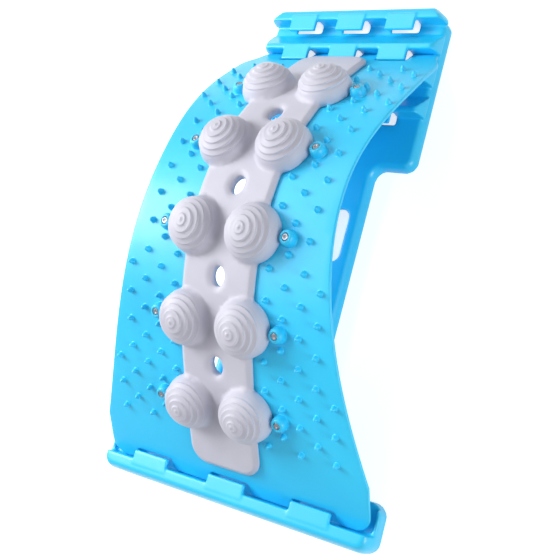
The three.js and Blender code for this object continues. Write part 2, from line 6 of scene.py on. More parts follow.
import bpy
import numpy as np
from mathutils import Matrix, Vector
from mathutils.geometry import delaunay_2d_cdt
from mathutils.kdtree import KDTree


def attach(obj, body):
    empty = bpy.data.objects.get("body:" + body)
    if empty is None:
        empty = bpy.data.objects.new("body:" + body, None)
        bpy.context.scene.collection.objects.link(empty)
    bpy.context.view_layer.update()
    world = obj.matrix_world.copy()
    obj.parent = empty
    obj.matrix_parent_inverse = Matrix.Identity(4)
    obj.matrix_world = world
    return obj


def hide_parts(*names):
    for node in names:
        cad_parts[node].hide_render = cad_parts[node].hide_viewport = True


MM = 0.001
TINY = 1e-9
GAP = 0.3
SINK = 0.5
OVERRUN = 3

# Base plate

BASE_LENGTH = 405.5
BASE_WALL = 2.6
DECK_HEIGHT = 10
SKIRT_INSET, SKIRT_RISE = 5, 8
WAIST_WIDTH, WAIST_CORNER = 95, 9

HEAD_WIDTH, HEAD_DEPTH = 159, 130.8
HEAD_INNER_CORNER = 9.5
CHAMFER_WIDE, CHAMFER_DEEP, CHAMFER_CORNER = 14, 11.5, 9.5
RIDGE_HEIGHT = 22
SHOULDER_INSET, SHOULDER_RISE = 6, 16
END_OVERLAP = 3.5
LIP_DEPTH, LIP_TOP, LIP_HEIGHT, LIP_EDGE = 11.8, 9, 20.4, 13
ROWS, SEAT_ROW = 4, 2
RIDGE_PITCH = 25.8
FLOOR_DEPTH, CREST = 9, 4
CREST_ROUND, CREST_BACK_ROUND = 0.9, 1.8
LIP_ROUND, LIP_EDGE_ROUND = 6, 2

FOOT_WIDTH, FOOT_DEPTH, FOOT_CORNER = 243, 35, 10
RIM_HEIGHT, RIM_INSET, RIM_RISE, RIM_DEPTH = 22, 6, 13.7, 13.3
END_RIM, END_HEIGHT, TROUGH_CORNER = 3.2, 13, 4

TAB_THICKNESS, TAB_PROUD, TAB_ROOT, TAB_TIP_RADIUS = 3, 0.3, 4, 1
SLOT_INSET, SLOT_TIP, SLOT_ROOT, SLOT_CEILING = 0.2, 3.5, 3, 2.4
HEAD_TAB_WIDTH, HEAD_TAB_LENGTH, HEAD_TAB_PITCH = 24.3, 9.8, 44.1
FOOT_TAB_WIDTH, FOOT_TAB_LENGTH, FOOT_TAB_PITCH = 33.2, 7, 73
TAB_COLUMNS = (-1, 0, 1)

WINDOW_WIDTH, WINDOW_LENGTH = 14, 42
WINDOW_FROM_AXIS, WINDOW_PITCH, WINDOW_COUNT, WINDOW_FROM_HEAD = 30.4, 62, 3, 35.5
RIB_THICKNESS, RIB_LIFT, RIB_FROM_AXIS, RIB_PITCH = 1.8, 1, 14.5, 31

VOXEL = 0.85
SOFTEN_PASSES = 4
SOFTEN_SHARE = 0.5
BASE_KEEP_SHARE = 0.35

# Arched board

BOARD_THICKNESS = 3
BOARD_EDGE = 1.1
BOARD_RISE = 91.2
BOARD_WAIST, BOARD_WAIST_WIDTH = 243, 162.8
BOARD_FOOT_WIDTH, BOARD_FOOT_REACH = 234.8, 207
BOARD_HEAD_WIDTH, BOARD_HEAD_REACH = 177.8, 105
BOARD_NECK, BOARD_NECK_LENGTH = 11, 28
BOARD_FOOT_CORNER, BOARD_HEAD_CORNER = 13, 5
NOTCH_SIDE, NOTCH_TIP, NOTCH_CORNER = 1.1, 0.9, 2
FOOT_LOBE, HEAD_LOBE = 5, 2.5
FLARE_POWER = 1.75
BOW_SHARES = (1, -0.105, -0.045)
ARC_SAMPLES, SOLVE_TURNS, SETTLE_TURNS = 400, 40, 6

# Massage pad

PAD_THICKNESS, PAD_WIDTH = 4, 61
PAD_FROM_FOOT, PAD_FROM_HEAD, PAD_CORNER = 18.8, 16, 14
PAD_ROWS, PAD_MIDDLE_ROW, PAD_PITCH = 5, 198, 64
PAD_EDGE, PAD_EDGE_DROP, PAD_FOOT_EDGE = 3.2, 2.1, 0.5
PAD_FILLET, CREASE_WIDTH = 2.5, 0.5
DOME_SPREAD, DOME_DIAMETER, DOME_HEIGHT = 49, 41, 17.7
DOME_FLANGE, DOME_POWER = 3, 1.2
DOME_BLEND, DOME_EDGE_FALL = 2.2, 4
NIPPLE_HEIGHT, NIPPLE_RADIUS = 1.0, 1.1
HOLE_WIDTH, HOLE_LENGTH, HOLE_EDGE_SHIFT = 11.5, 14.5, 0.5
COLLAR, COLLAR_FOOT_INSET, COLLAR_FOOT_RISE = 1.2, 0.2, 0.3

# Each terrace swells up to its lip and steps back. The relief fades at both ends of a dome's side,
# and is fainter near the apex and, below there, across the direction of the turn.

TERRACES, TERRACE_RELIEF = 7, 1.8
TERRACE_LIP_POWER, TERRACE_LIP_SHARE, TERRACE_STEP_SHARE = 1.6, 0.78, 0.22
TERRACE_FADE_SHARE, TERRACE_END_SHARE = 0.08, 0.74
TERRACE_FAINT_SHARE, TERRACE_TURN = 0.5, -0.1
LOBE_START_SHARE, LOBE_GROWTH_SHARE = 0.15, 0.25
APEX_FAINT_SHARE, APEX_REACH_SHARE = 0.4, 0.45

# Magnets in their bosses, and nodules

MAGNET_DIAMETER, MAGNET_LENGTH, MAGNET_EDGE, MAGNET_FOOT_CHAMFER = 4.8, 3.2, 0.35, 0.1
DISH_DIAMETER, DISH_DEPTH = 2.2, 0.5
DISH_LIP_WIDTH, DISH_LIP_DEPTH = 0.2, 0.08
DISH_RING_SHARES, DISH_EDGE_SHARE = (0.9, 0.7, 0.4), 0.8
MAGNET_SPREAD = 103

BOSS_DIAMETER, BOSS_HEIGHT, BOSS_TOP = 15.5, 6.5, 7.6
BOSS_SHOWN_DIAMETER = 12.8
BOSS_FOOT_INSET, BOSS_FOOT_RISE, BOSS_WALL_INSET, BOSS_RIM_INSET = 0.25, 0.35, 0.35, 0.5
BOSS_START_SHARE, BOSS_ACROSS_POWER, BOSS_UP_POWER = 0.12, 0.9, 0.95
SOCKET_DEPTH, SOCKET_CORNER = 3.6, 0.2
SOCKET_EDGE, SOCKET_EDGE_MIDDLE = 0.35, 0.1

NODULE_DIAMETER, NODULE_HEIGHT, NODULE_TIP_RISE = 5.4, 4.4, 0.02
NODULE_FOOT_SHARES = ((1, 0), (0.86, 0.05), (0.79, 0.14))
NODULE_STEM_SHARE, NODULE_RISE_SHARES = 0.77, (0.3, 0.5, 0.68, 0.82, 0.92, 0.98)
NODULE_FLAT_POWER, NODULE_ROUND_POWER = 2.4, 0.62
NODULE_FIRST, NODULE_PITCH, NODULE_COLUMNS = 39.4, 13.75, 5
NODULE_ROWS_PER_DOME_ROW, NODULE_ROWS_BEFORE, NODULE_ROWS_AFTER = 6, 14, 16
NODULE_MARGIN, NODULE_CLEARANCE = 2.5, 0.2
GUARD = 0.15

# Facets of the fine skins

FACET, LEAST_ARC_STEPS, MITRE_LIMIT = 1, 3, 0.3
MERGE_DISTANCE = 1e-7
SLAB_STEPS, SLAB_LEAST_RISE = 9, 0.01
RIM_STEPS, PAD_FOOT_STEPS, PIN_EDGE_STEPS = 5, 2, 4
BOARD_FACET, BOARD_SIDE_STEP, BOARD_EDGE_STEP = 0.8, 2.5, 3
BOARD_GRID, BOARD_CLEARANCE = (6, 4), 1.6
BOARD_HOLE_SIDES, PAD_HOLE_SIDES = 40, 48
BOSS_SIDES, BOSS_STEPS, NODULE_SIDES, PIN_SIDES = 40, 11, 14, 32
PAD_GRID, PAD_EDGE_STEP = (2, 2), 2
PAD_RIM_INSETS = (0, 0.3, 0.6, 0.9, 1.2)
PAD_CLEARANCE, PAD_TOP_CLEARANCE = 0.7, 0.9
UNDERSIDE_THINNING, EDGE_SEARCH_STEP = 3, 0.4
DOME_SIDES, DOME_STEPS, DOME_SAMPLES, DOME_JOIN = 64, 36, 600, 1.3
TERRACE_SHARES, TERRACE_CLEAR_SHARE = (0, 0.2, 0.4, 0.6, 0.72, 0.8, 0.86, 0.92), 0.01
FILLET_STEPS = 6

# Colours: the darker and the lighter end of each as hex digits, and how rough the plastics are

BASE_BLUE, BASE_ROUGHNESS = ("20cafc", "28d2ff"), 0.34
BOARD_BLUE, BOARD_ROUGHNESS = ("26c9fc", "2cd1ff"), 0.43
LAVENDER = ("c4c3d2", "cfceda")
STEEL = ("666b75", "a4a9b1")
FLOOR_PAPER = ("e4e6e8", "eceded")

# The stage: the floor in millimetres, the lamps in metres and watts

FLOOR_REACH = 3000
FLOOR_GAP = 0.2
FLOOR_GLOW = 0.72
WORLD_LIGHT = 0.27
WHITE = (1, 1, 1, 1)
LAMPS = (
    ("key", (-1.05, 0.12, 0.9), (0, 0, 0.05), (0.65, 0.65), 18),
    ("top", (-0.6, 0.9, 1.2), (0, 0, 0.05), (0.7, 0.7), 4),
    ("sheen", (-0.7, -0.35, 1.15), (0, -0.2, 0), (0.5, 0.5), 2),
    ("fill", (1.2, -0.3, 0.4), (0, 0, 0.05), (0.6, 0.6), 7.5),
)

# The camera of the photograph, with its place in metres and its lens in millimetres

CAMERA_PLACE = (0.3585, -0.1278, 0.578)
CAMERA_RIGHT = (0.8322, 0.2589, -0.4903)
CAMERA_UP = (-0.1425, 0.9544, 0.2622)
SENSOR_WIDTH = 36
CAMERA_LENS = 56.29
CLIP_START = 0.01

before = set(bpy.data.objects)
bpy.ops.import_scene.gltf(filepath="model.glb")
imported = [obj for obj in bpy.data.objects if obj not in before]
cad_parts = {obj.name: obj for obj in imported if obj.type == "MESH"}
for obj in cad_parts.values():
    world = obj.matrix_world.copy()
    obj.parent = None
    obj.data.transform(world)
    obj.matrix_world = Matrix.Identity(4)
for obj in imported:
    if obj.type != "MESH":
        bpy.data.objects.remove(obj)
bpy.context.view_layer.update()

head_end = BASE_LENGTH / 2
foot_end = -BASE_LENGTH / 2
head_inner = head_end - HEAD_DEPTH
foot_inner = foot_end + FOOT_DEPTH
foot_wall = foot_end + RIM_DEPTH


def ridge_wall(row):
    return head_end - LIP_DEPTH - (row - 1) * RIDGE_PITCH


# Flat outlines

def rounded(corners, facet=FACET):
    """A closed outline through (x, y, radius) corners, with an arc at each"""
    points = []
    count = len(corners)
    for index, (x, y, radius) in enumerate(corners):
        here = Vector((x, y))
        if radius == 0:
            points.append((x, y))
            continue
        before = Vector(corners[index - 1][:2])
        after = Vector(corners[(index + 1) % count][:2])
        arriving = (here - before).normalized()
        leaving = (after - here).normalized()
        turn = math.atan2(arriving.x * leaving.y - arriving.y * leaving.x, arriving.dot(leaving))
        side = math.copysign(1, turn)
        start = here - arriving * radius * math.tan(abs(turn) / 2)
        inward = Vector((-arriving.y, arriving.x)) * side
        centre = start + inward * radius
        first = math.atan2(-inward.y, -inward.x)
        steps = max(LEAST_ARC_STEPS, math.ceil(abs(turn) * radius / facet))
        for step in range(steps + 1):
            angle = first + turn * step / steps
            points.append((centre.x + radius * math.cos(angle), centre.y + radius * math.sin(angle)))
    return np.array(points)


def mirrored(corners):
    return [*corners, *[(-x, y, radius) for x, y, radius in reversed(corners)]]


def drawn_in(loop, distance):
    """The closed outline moved towards its left side by distance"""
    ahead = np.roll(loop, -1, axis=0) - loop
    ahead /= np.maximum(np.linalg.norm(ahead, axis=1, keepdims=True), TINY)
    normal = np.stack([-ahead[:, 1], ahead[:, 0]], axis=1)
    before = np.roll(normal, 1, axis=0)
    share = 1 + (normal * before).sum(axis=1, keepdims=True)
    return loop + distance * (normal + before) / np.maximum(share, MITRE_LIMIT)


def turns(count):
    """Angles spaced evenly all the way round"""
    return np.arange(count) * 2 * math.pi / count


def circle(x, y, radius, turn):
    """Plan points round (x, y) at the angles of turn, with one radius or a radius each"""
    return np.stack([x + radius * np.cos(turn), y + radius * np.sin(turn)], axis=1)


def hole_outline(s, margin, sides):
    """A vent hole's outline, made wider by margin all round; it turns clockwise, as holes do here"""
    turn = -turns(sides)
    width, length = HOLE_WIDTH + 2 * margin, HOLE_LENGTH + 2 * margin
    return np.stack([width / 2 * np.cos(turn), s + length / 2 * np.sin(turn)], axis=1)


def resampled(points, step):
    """Adds points to the long sides of a closed outline"""
    result = []
    for here, after in zip(points, np.roll(points, -1, axis=0)):
        count = max(1, round(float(np.linalg.norm(after - here)) / step))
        for index in range(count):
            result.append(here + (after - here) * index / count)
    return np.array(result)


# Skins gathered as points and faces

class Skin:
    def __init__(self):
        self.points = []
        self.faces = []

    def ring(self, plan, height):
        """Adds a row of plan points at one height, or at a height each"""
        heights = np.broadcast_to(height, len(plan))
        start = len(self.points)
        self.points.extend((float(x), float(y), float(z)) for (x, y), z in zip(plan, heights))
        return list(range(start, len(self.points)))

    def plan(self, ring):
        return np.array([self.points[point][:2] for point in ring])

    def band(self, lower, upper):
        """Joins two closed rings; the outside is on the right of their direction"""
        count = len(lower)
        for here in range(count):
            after = (here + 1) % count
            self.faces.append((lower[here], lower[after], upper[after], upper[here]))

    def bands(self, rings):
        for lower, upper in zip(rings, rings[1:]):
            self.band(lower, upper)

    def fan(self, ring, plan, height):
        """Closes a ring with one point over its middle"""
        tip, = self.ring([plan], height)
        for here, index in enumerate(ring):
            self.faces.append((index, ring[(here + 1) % len(ring)], tip))

    def cap(self, rings, loose, facing_up):
        """Fills between closed rings, the first one the outline, over loose points in the plan"""
        index = [point for ring in rings for point in ring] + list(loose)
        owner = [number for number, ring in enumerate(rings) for _ in ring] + [None] * len(loose)
        edges = []
        start = 0
        for ring in rings:
            count = len(ring)
            edges.extend((start + here, start + (here + 1) % count) for here in range(count))
            start += count
        plan = [Vector(self.points[point][:2]) for point in index]
        _, _, faces, origins, _, _ = delaunay_2d_cdt(plan, edges, [], 1, MERGE_DISTANCE)
        shapes = [self.plan(ring) for ring in rings]
        for face in faces:
            corners = [origins[corner][0] for corner in face]
            holes = {owner[corner] for corner in corners} - {None, 0}
            middle = np.mean([plan[corner] for corner in corners], axis=0)[None]
            if any(within(shapes[hole], middle)[0] for hole in holes):
                continue
            corners = [index[corner] for corner in corners]
            self.faces.append(corners if facing_up else corners[::-1])


def within(loop, points):
    """Which of the points a closed outline goes round"""
    x, y = loop[:, 0], loop[:, 1]
    next_x, next_y = np.roll(x, -1), np.roll(y, -1)
    rise = np.where(next_y == y, 1, next_y - y)
    across, up = points[:, :1], points[:, 1:2]
    crosses = (y > up) != (next_y > up)
    at = x + (up - y) / rise * (next_x - x)
    return (crosses & (across < at)).sum(axis=1) % 2 == 1


def loose_points(spread, outline, holes, fixed, distance):
    """The points of a spread that lie inside the outline, in no hole, and clear of the fixed points"""
    spread = spread[within(outline, spread)]
    for hole in holes:
        spread = spread[~within(hole, spread)]
    tree = KDTree(len(fixed))
    for index, (x, y) in enumerate(fixed):
        tree.insert((x, y, 0), index)
    tree.balance()
    return np.array([point for point in spread if tree.find((*point, 0))[2] > distance])


def make_piece(name, points, faces):
    mesh = bpy.data.meshes.new(name)
    mesh.from_pydata(np.asarray(points) * MM, [], faces)
    mesh.validate()
    mesh.shade_smooth()
    piece = bpy.data.objects.new(name, mesh)
    bpy.context.scene.collection.objects.link(piece)
    return piece


def duplicate(piece):
    double = piece.copy()
    double.data = piece.data.copy()
    bpy.context.scene.collection.objects.link(double)
    return double


def settle(piece):
    """Applies a piece's modifiers to its mesh"""
    graph = bpy.context.evaluated_depsgraph_get()
    mesh = bpy.data.meshes.new_from_object(piece.evaluated_get(graph))
    piece.modifiers.clear()
    piece.data = mesh


def combine(body, tool, operation):
    modifier = body.modifiers.new("combine", "BOOLEAN")
    modifier.operation = operation
    modifier.solver = "MANIFOLD"
    modifier.object = tool
    settle(body)
    bpy.data.objects.remove(tool)
    return body


# Base plate

def stack(rings):
    """A closed solid through rings of as many points, the first and last ones flat"""
    skin = Skin()
    made = [skin.ring(plan, height) for plan, height in rings]
    skin.bands(made)
    skin.faces.append(made[0][::-1])
    skin.faces.append(made[-1])
    return make_piece("stack", skin.points, skin.faces)


def domed_slab(corners, top, inset, rise, drop):
    """A slab with a rounded top edge, drawn in and lowered by drop for the hollow under it"""
    outline = rounded(corners)
    full = drawn_in(outline, drop)
    bottom = -OVERRUN if drop else 0
    rings = [(full, bottom)]
    if top - drop - rise > bottom:
        rings.append((full, top - drop - rise))
    for step in range(1, SLAB_STEPS + 1):
        angle = math.pi / 2 * step / SLAB_STEPS
        height = top - drop - rise * (1 - math.sin(angle))
        if height > bottom + SLAB_LEAST_RISE:
            rings.append((drawn_in(outline, drop + inset * (1 - math.cos(angle))), height))
    return stack(rings)


def prism_along_x(profile, start, end):
    """A prism of a closed (y, z) outline that turns counter-clockwise"""
    skin = Skin()
    near = skin.ring(profile, start)
    far = skin.ring(profile, end)
    skin.band(near, far)
    skin.faces.append(near[::-1])
    skin.faces.append(far)
    points = [(x, y, z) for y, z, x in skin.points]
    return make_piece("prism", points, skin.faces)


def block(low, high):
    profile = np.array([(low[1], low[2]), (high[1], low[2]), (high[1], high[2]), (low[1], high[2])])
    return prism_along_x(profile, low[0], high[0])


def head_corners(end):
    return [
        (HEAD_WIDTH / 2, head_inner, HEAD_INNER_CORNER),
        (HEAD_WIDTH / 2, end - CHAMFER_DEEP, CHAMFER_CORNER),
        (HEAD_WIDTH / 2 - CHAMFER_WIDE, end, CHAMFER_CORNER),
    ]


foot_corners = [
    (FOOT_WIDTH / 2, foot_end, FOOT_CORNER),
    (FOOT_WIDTH / 2, foot_inner, FOOT_CORNER),
]
waist_corners = [
    (WAIST_WIDTH / 2, foot_inner, WAIST_CORNER),
    (WAIST_WIDTH / 2, head_inner, WAIST_CORNER),
]


def ridge_block(drop):
    """The saw-tooth ridges of the head, which rise out of the deck"""

    def edge(radius):
        """Edges are rounded on the outside alone"""
        return 0 if drop else radius

    slab = domed_slab(mirrored(head_corners(head_end + END_OVERLAP)), RIDGE_HEIGHT, SHOULDER_INSET,
                      SHOULDER_RISE, drop)
    low = DECK_HEIGHT - drop - 2 * SINK
    top = RIDGE_HEIGHT - drop
    for row in range(ROWS, 1, -1):
        face = ridge_wall(row) + drop
        back = ridge_wall(row) + CREST
        foot = ridge_wall(row - 1) - FLOOR_DEPTH
        beyond = (foot - back) * (DECK_HEIGHT - drop - low) / (top - DECK_HEIGHT + drop)
        profile = rounded([
            (face, low, 0),
            (foot + beyond, low, 0),
            (back, top, edge(CREST_BACK_ROUND)),
            (face, top, edge(CREST_ROUND)),
        ])
        ridge = prism_along_x(profile, -HEAD_WIDTH, HEAD_WIDTH)
        teeth = ridge if row == ROWS else combine(teeth, ridge, "UNION")
    lip = rounded([
        (ridge_wall(1) + drop, low, 0),
        (head_end - drop, low, 0),
        (head_end - drop, LIP_EDGE - drop, edge(LIP_EDGE_ROUND)),
        (ridge_wall(1) + LIP_TOP - drop, LIP_HEIGHT - drop, edge(LIP_ROUND)),
        (ridge_wall(1) + drop, top, edge(CREST_ROUND)),
    ])
    teeth = combine(teeth, prism_along_x(lip, -HEAD_WIDTH, HEAD_WIDTH), "UNION")
    return combine(slab, teeth, "INTERSECT")


def trough(half, floor, drop):
    """A cutter from the foot wall on, open towards the head"""
    corner = TROUGH_CORNER + drop
    outline = rounded(mirrored([
        (half, foot_wall - drop, corner),
        (half, foot_inner + FOOT_DEPTH, corner),
    ]))
    return stack([(outline, floor - drop), (outline, RIM_HEIGHT + OVERRUN)])


def rim_block(drop):
    """The foot rail: a rounded block with the trough in it and with lower ends"""
    slab = domed_slab(mirrored(foot_corners), RIM_HEIGHT, RIM_INSET, RIM_RISE, drop)
    inner = trough(FOOT_WIDTH / 2 - END_RIM + drop, DECK_HEIGHT - SINK, drop)
    slab = combine(slab, inner, "DIFFERENCE")
    return combine(slab, trough(FOOT_WIDTH / 2 + OVERRUN + drop, END_HEIGHT, drop), "DIFFERENCE")


def base_body(drop):
    """The outside of the plate or, with a drop, the hollow under it"""
    outline = mirrored([*foot_corners, *waist_corners, *head_corners(head_end)])
    deck = domed_slab(outline, DECK_HEIGHT, SKIRT_INSET, SKIRT_RISE, drop)
    deck = combine(deck, ridge_block(drop), "UNION")
    return combine(deck, rim_block(drop), "UNION")


def add_ribs(shell, body):
    """Ribs under the deck, each cut to the outside of the plate"""
    half = RIB_THICKNESS / 2
    reach = FOOT_WIDTH
    spans = []
    for side in (-1, 1):
        lines = (
            (side * RIB_FROM_AXIS, foot_wall, ridge_wall(ROWS)),
            (side * HEAD_TAB_PITCH / 2, head_inner, head_end),
            (side * FOOT_TAB_PITCH / 2, foot_end, foot_inner),
        )
        spans.extend(((x - half, low), (x + half, high)) for x, low, high in lines)
    across = [ridge_wall(row) + BASE_WALL / 2 for row in range(1, ROWS + 1)]
    y = head_inner
    while y > foot_inner:
        across.append(y)
        y -= RIB_PITCH
    spans.extend(((-reach, y - half), (reach, y + half)) for y in across)
    for low, high in spans:
        rib = block((*low, RIB_LIFT), (*high, RIDGE_HEIGHT))
        shell = combine(shell, combine(rib, duplicate(body), "INTERSECT"), "UNION")
    bpy.data.objects.remove(body)
    return shell


def hook(x, width, length, wall, facing):
    """One flat hook that reaches from a wall; facing is the way it points"""
    top = RIDGE_HEIGHT + TAB_PROUD
    under = top - TAB_THICKNESS
    tip = wall + facing * length
    root = wall - facing * TAB_ROOT
    corners = [
        (root, under, 0),
        (tip, under, 0),
        (tip, top, TAB_TIP_RADIUS),
        (root, top, 0),
    ]
    profile = rounded(corners if facing > 0 else corners[::-1])
    return prism_along_x(profile, x - width / 2, x + width / 2)


def cut_windows(shell):
    half = WINDOW_WIDTH / 2
    for side in (-1, 1):
        x = side * WINDOW_FROM_AXIS
        for index in range(WINDOW_COUNT):
            high = head_inner - WINDOW_FROM_HEAD - index * WINDOW_PITCH
            outline = rounded([
                (x - half, high - WINDOW_LENGTH, half),
                (x + half, high - WINDOW_LENGTH, half),
                (x + half, high, half),
                (x - half, high, half),
            ])
            window = stack([(outline, -OVERRUN), (outline, DECK_HEIGHT + OVERRUN)])
            shell = combine(shell, window, "DIFFERENCE")
    return shell


def add_hooks(shell):
    """The hooks of the head, each with the slot under it, and those of the foot"""
    half = HEAD_TAB_WIDTH / 2 - SLOT_INSET
    ceiling = RIDGE_HEIGHT + TAB_PROUD - TAB_THICKNESS - SLOT_CEILING
    for column in TAB_COLUMNS:
        x = column * HEAD_TAB_PITCH
        for row in range(1, ROWS + 1):
            wall = ridge_wall(row)
            slot = block((x - half, wall - HEAD_TAB_LENGTH + SLOT_TIP, -OVERRUN),
                         (x + half, wall + SLOT_ROOT, ceiling))
            shell = combine(shell, slot, "DIFFERENCE")
            shell = combine(shell, hook(x, HEAD_TAB_WIDTH, HEAD_TAB_LENGTH, wall, -1), "UNION")
        foot_hook = hook(column * FOOT_TAB_PITCH, FOOT_TAB_WIDTH, FOOT_TAB_LENGTH, foot_wall, 1)
        shell = combine(shell, foot_hook, "UNION")
    return shell


def make_base():
    """The hollow plate with its ribs, windows, slots and hooks"""
    outside = base_body(0)
    shell = combine(duplicate(outside), base_body(BASE_WALL), "DIFFERENCE")
    return add_hooks(cut_windows(add_ribs(shell, outside)))


def soften(piece, name):
    """Rounds every edge as a mould does: an even skin, relaxed, then thinned where it is flat"""
    remesh = piece.modifiers.new("skin", "REMESH")
    remesh.mode = "VOXEL"
    remesh.voxel_size = VOXEL * MM
    relax = piece.modifiers.new("relax", "SMOOTH")
    relax.factor = SOFTEN_SHARE
    relax.iterations = SOFTEN_PASSES
    thin = piece.modifiers.new("thin", "DECIMATE")
    thin.ratio = BASE_KEEP_SHARE
    settle(piece)
    piece.data.shade_smooth()
    piece.name = name
    return piece


# The arch: its slope follows a cosine and two small harmonics, and a tilt seats both ends

def integrate(bow, tilt):
    """Places and slopes along an arc of length 1"""
    ends = np.linspace(0, 1, ARC_SAMPLES + 1)
    middles = (ends[1:] + ends[:-1]) / 2

    def slope_at(share):
        waves = sum(part * np.cos((index + 1) * math.pi * share) for index, part in enumerate(BOW_SHARES))
        return tilt + bow * waves

    inner = slope_at(middles)
    y = np.concatenate([[0], np.cumsum(np.cos(inner))]) / ARC_SAMPLES
    z = np.concatenate([[0], np.cumsum(np.sin(inner))]) / ARC_SAMPLES
    return y, z, slope_at(ends)


def levelled(bow, span, climb):
    """The arc with the tilt that lets its ends climb as they should"""
    tilt = 0
    y, z, slope = integrate(bow, tilt)
    for _ in range(SETTLE_TURNS):
        tilt += math.atan2(climb, span) - math.atan2(z[-1], y[-1])
        y, z, slope = integrate(bow, tilt)
    return y, z, slope


def solve_arch(span, climb, rise):
    """The arc between two seats that bows just as far as the rise, and its length"""
    low, high = 0, math.pi / 2
    for _ in range(SOLVE_TURNS):
        middle = (low + high) / 2
        y, z, _ = levelled(middle, span, climb)
        if z.max() / y[-1] < rise / span:
            low = middle
        else:
            high = middle
    y, z, slope = levelled(low, span, climb)
    length = span / y[-1]
    return y * length, z * length, slope, length


def make_arch():
    """Seats the board in the foot trough and against the ridge of its row"""
    half = BOARD_THICKNESS / 2
    foot_slope = head_slope = math.pi / 4
    for _ in range(SETTLE_TURNS):
        start_y = foot_wall + GAP + half * math.sin(foot_slope)
        start_z = DECK_HEIGHT + GAP + half * math.cos(foot_slope)
        end_y = ridge_wall(SEAT_ROW) - GAP - half * math.sin(head_slope)
        climb = half * (math.cos(head_slope) - math.cos(foot_slope))
        y, z, slope, length = solve_arch(end_y - start_y, climb, BOARD_RISE)
        foot_slope, head_slope = slope[0], -slope[-1]
    return start_y + y, start_z + z, slope, length


arch_y, arch_z, arch_slope, arch_length = make_arch()
arch_places = np.linspace(0, arch_length, ARC_SAMPLES + 1)


def on_arch(x, s, h):
    """Points x across, s along the arc and h over the middle of the board, as places in space"""
    held = np.clip(s, 0, arch_length)
    slope = np.interp(held, arch_places, arch_slope)
    beyond = s - held
    y = np.interp(held, arch_places, arch_y) + beyond * np.cos(slope) - h * np.sin(slope)
    z = np.interp(held, arch_places, arch_z) + beyond * np.sin(slope) + h * np.cos(slope)
    return np.stack([x, y, z], axis=-1)


def bent(skin):
    x, s, h = np.array(skin.points).T
    return on_arch(x, s, h)


def smooth(share):
    return (1 - np.cos(math.pi * np.clip(share, 0, 1))) / 2


def board_half_width(s):
    waist = BOARD_WAIST_WIDTH / 2
    if s < BOARD_WAIST:
        share = min((BOARD_WAIST - s) / BOARD_FOOT_REACH, 1)
        return waist + (BOARD_FOOT_WIDTH / 2 - waist) * share ** FLARE_POWER
    flare = (BOARD_HEAD_WIDTH / 2 - waist) * smooth((s - BOARD_WAIST) / BOARD_HEAD_REACH)
    return waist + flare - BOARD_NECK * smooth(1 - (arch_length - s) / BOARD_NECK_LENGTH)


board_top = BOARD_THICKNESS / 2
pad_bottom = board_top + GAP
dome_rows = [PAD_MIDDLE_ROW + (row - (PAD_ROWS - 1) / 2) * PAD_PITCH for row in range(PAD_ROWS)]
hole_rows = [row - PAD_PITCH / 2 for row in dome_rows[1:]]
dome_places = [(side * DOME_SPREAD / 2, s) for s in dome_rows for side in (-1, 1)]
boss_places = [(side * MAGNET_SPREAD / 2, s) for s in dome_rows for side in (-1, 1)]
dome_radius = DOME_DIAMETER / 2


# Arched board

def notch_corners(x, width, length, s, slope, way, lobe):
    """The corners of one notch in the end at s, in the order of rising x times way"""
    half = width / 2 + NOTCH_SIDE
    depth = (length + NOTCH_TIP - GAP) / math.cos(slope)
    return [
        (x - way * half, s, lobe),
        (x - way * half, s + way * depth, NOTCH_CORNER),
        (x + way * half, s + way * depth, NOTCH_CORNER),
        (x + way * half, s, lobe),
    ]


def board_outline():
    """Counter-clockwise: up the right side, over the head end, down the left and along the foot end"""
    inner = np.arange(2 * BOARD_FOOT_CORNER, arch_length - 2 * BOARD_HEAD_CORNER, BOARD_SIDE_STEP)
    right = [(board_half_width(s), s, 0) for s in inner]
    foot_half, head_half = board_half_width(0), board_half_width(arch_length)
    corners = [(foot_half, 0, BOARD_FOOT_CORNER), *right, (head_half, arch_length, BOARD_HEAD_CORNER)]
    for column in reversed(TAB_COLUMNS):
        corners.extend(notch_corners(column * HEAD_TAB_PITCH, HEAD_TAB_WIDTH, HEAD_TAB_LENGTH,
                                     arch_length, -arch_slope[-1], -1, HEAD_LOBE))
    corners.append((-head_half, arch_length, BOARD_HEAD_CORNER))
    corners.extend((-x, s, 0) for x, s, _ in reversed(right))
    corners.append((-foot_half, 0, BOARD_FOOT_CORNER))
    for column in TAB_COLUMNS:
        corners.extend(notch_corners(column * FOOT_TAB_PITCH, FOOT_TAB_WIDTH, FOOT_TAB_LENGTH,
                                     0, arch_slope[0], 1, FOOT_LOBE))
    return resampled(rounded(corners, BOARD_FACET), BOARD_EDGE_STEP)


def nodule_fits(x, s):
    radius = NODULE_DIAMETER / 2
    room = radius + NODULE_CLEARANCE
    if x + radius + NODULE_MARGIN > board_half_width(s):
        return False
    over_pad = PAD_FROM_FOOT - room < s < arch_length - PAD_FROM_HEAD + room
    if over_pad and x < PAD_WIDTH / 2 + room:
        return False
    to_dome = min(math.hypot(s - row, x - DOME_SPREAD / 2) for row in dome_rows)
    to_boss = min(math.hypot(s - row, x - MAGNET_SPREAD / 2) for row in dome_rows)
    return to_dome > dome_radius + room and to_boss > BOSS_DIAMETER / 2 + room


def nodule_places():
    places = []
    for row in range(-NODULE_ROWS_BEFORE, NODULE_ROWS_AFTER + 1):
        for column in range(NODULE_COLUMNS):
            if (row + column) % 2:
                continue
            s = PAD_MIDDLE_ROW + row * PAD_PITCH / NODULE_ROWS_PER_DOME_ROW
            x = NODULE_FIRST + column * NODULE_PITCH
            if nodule_fits(x, s):
                places.extend([(x, s), (-x, s)])
    return places


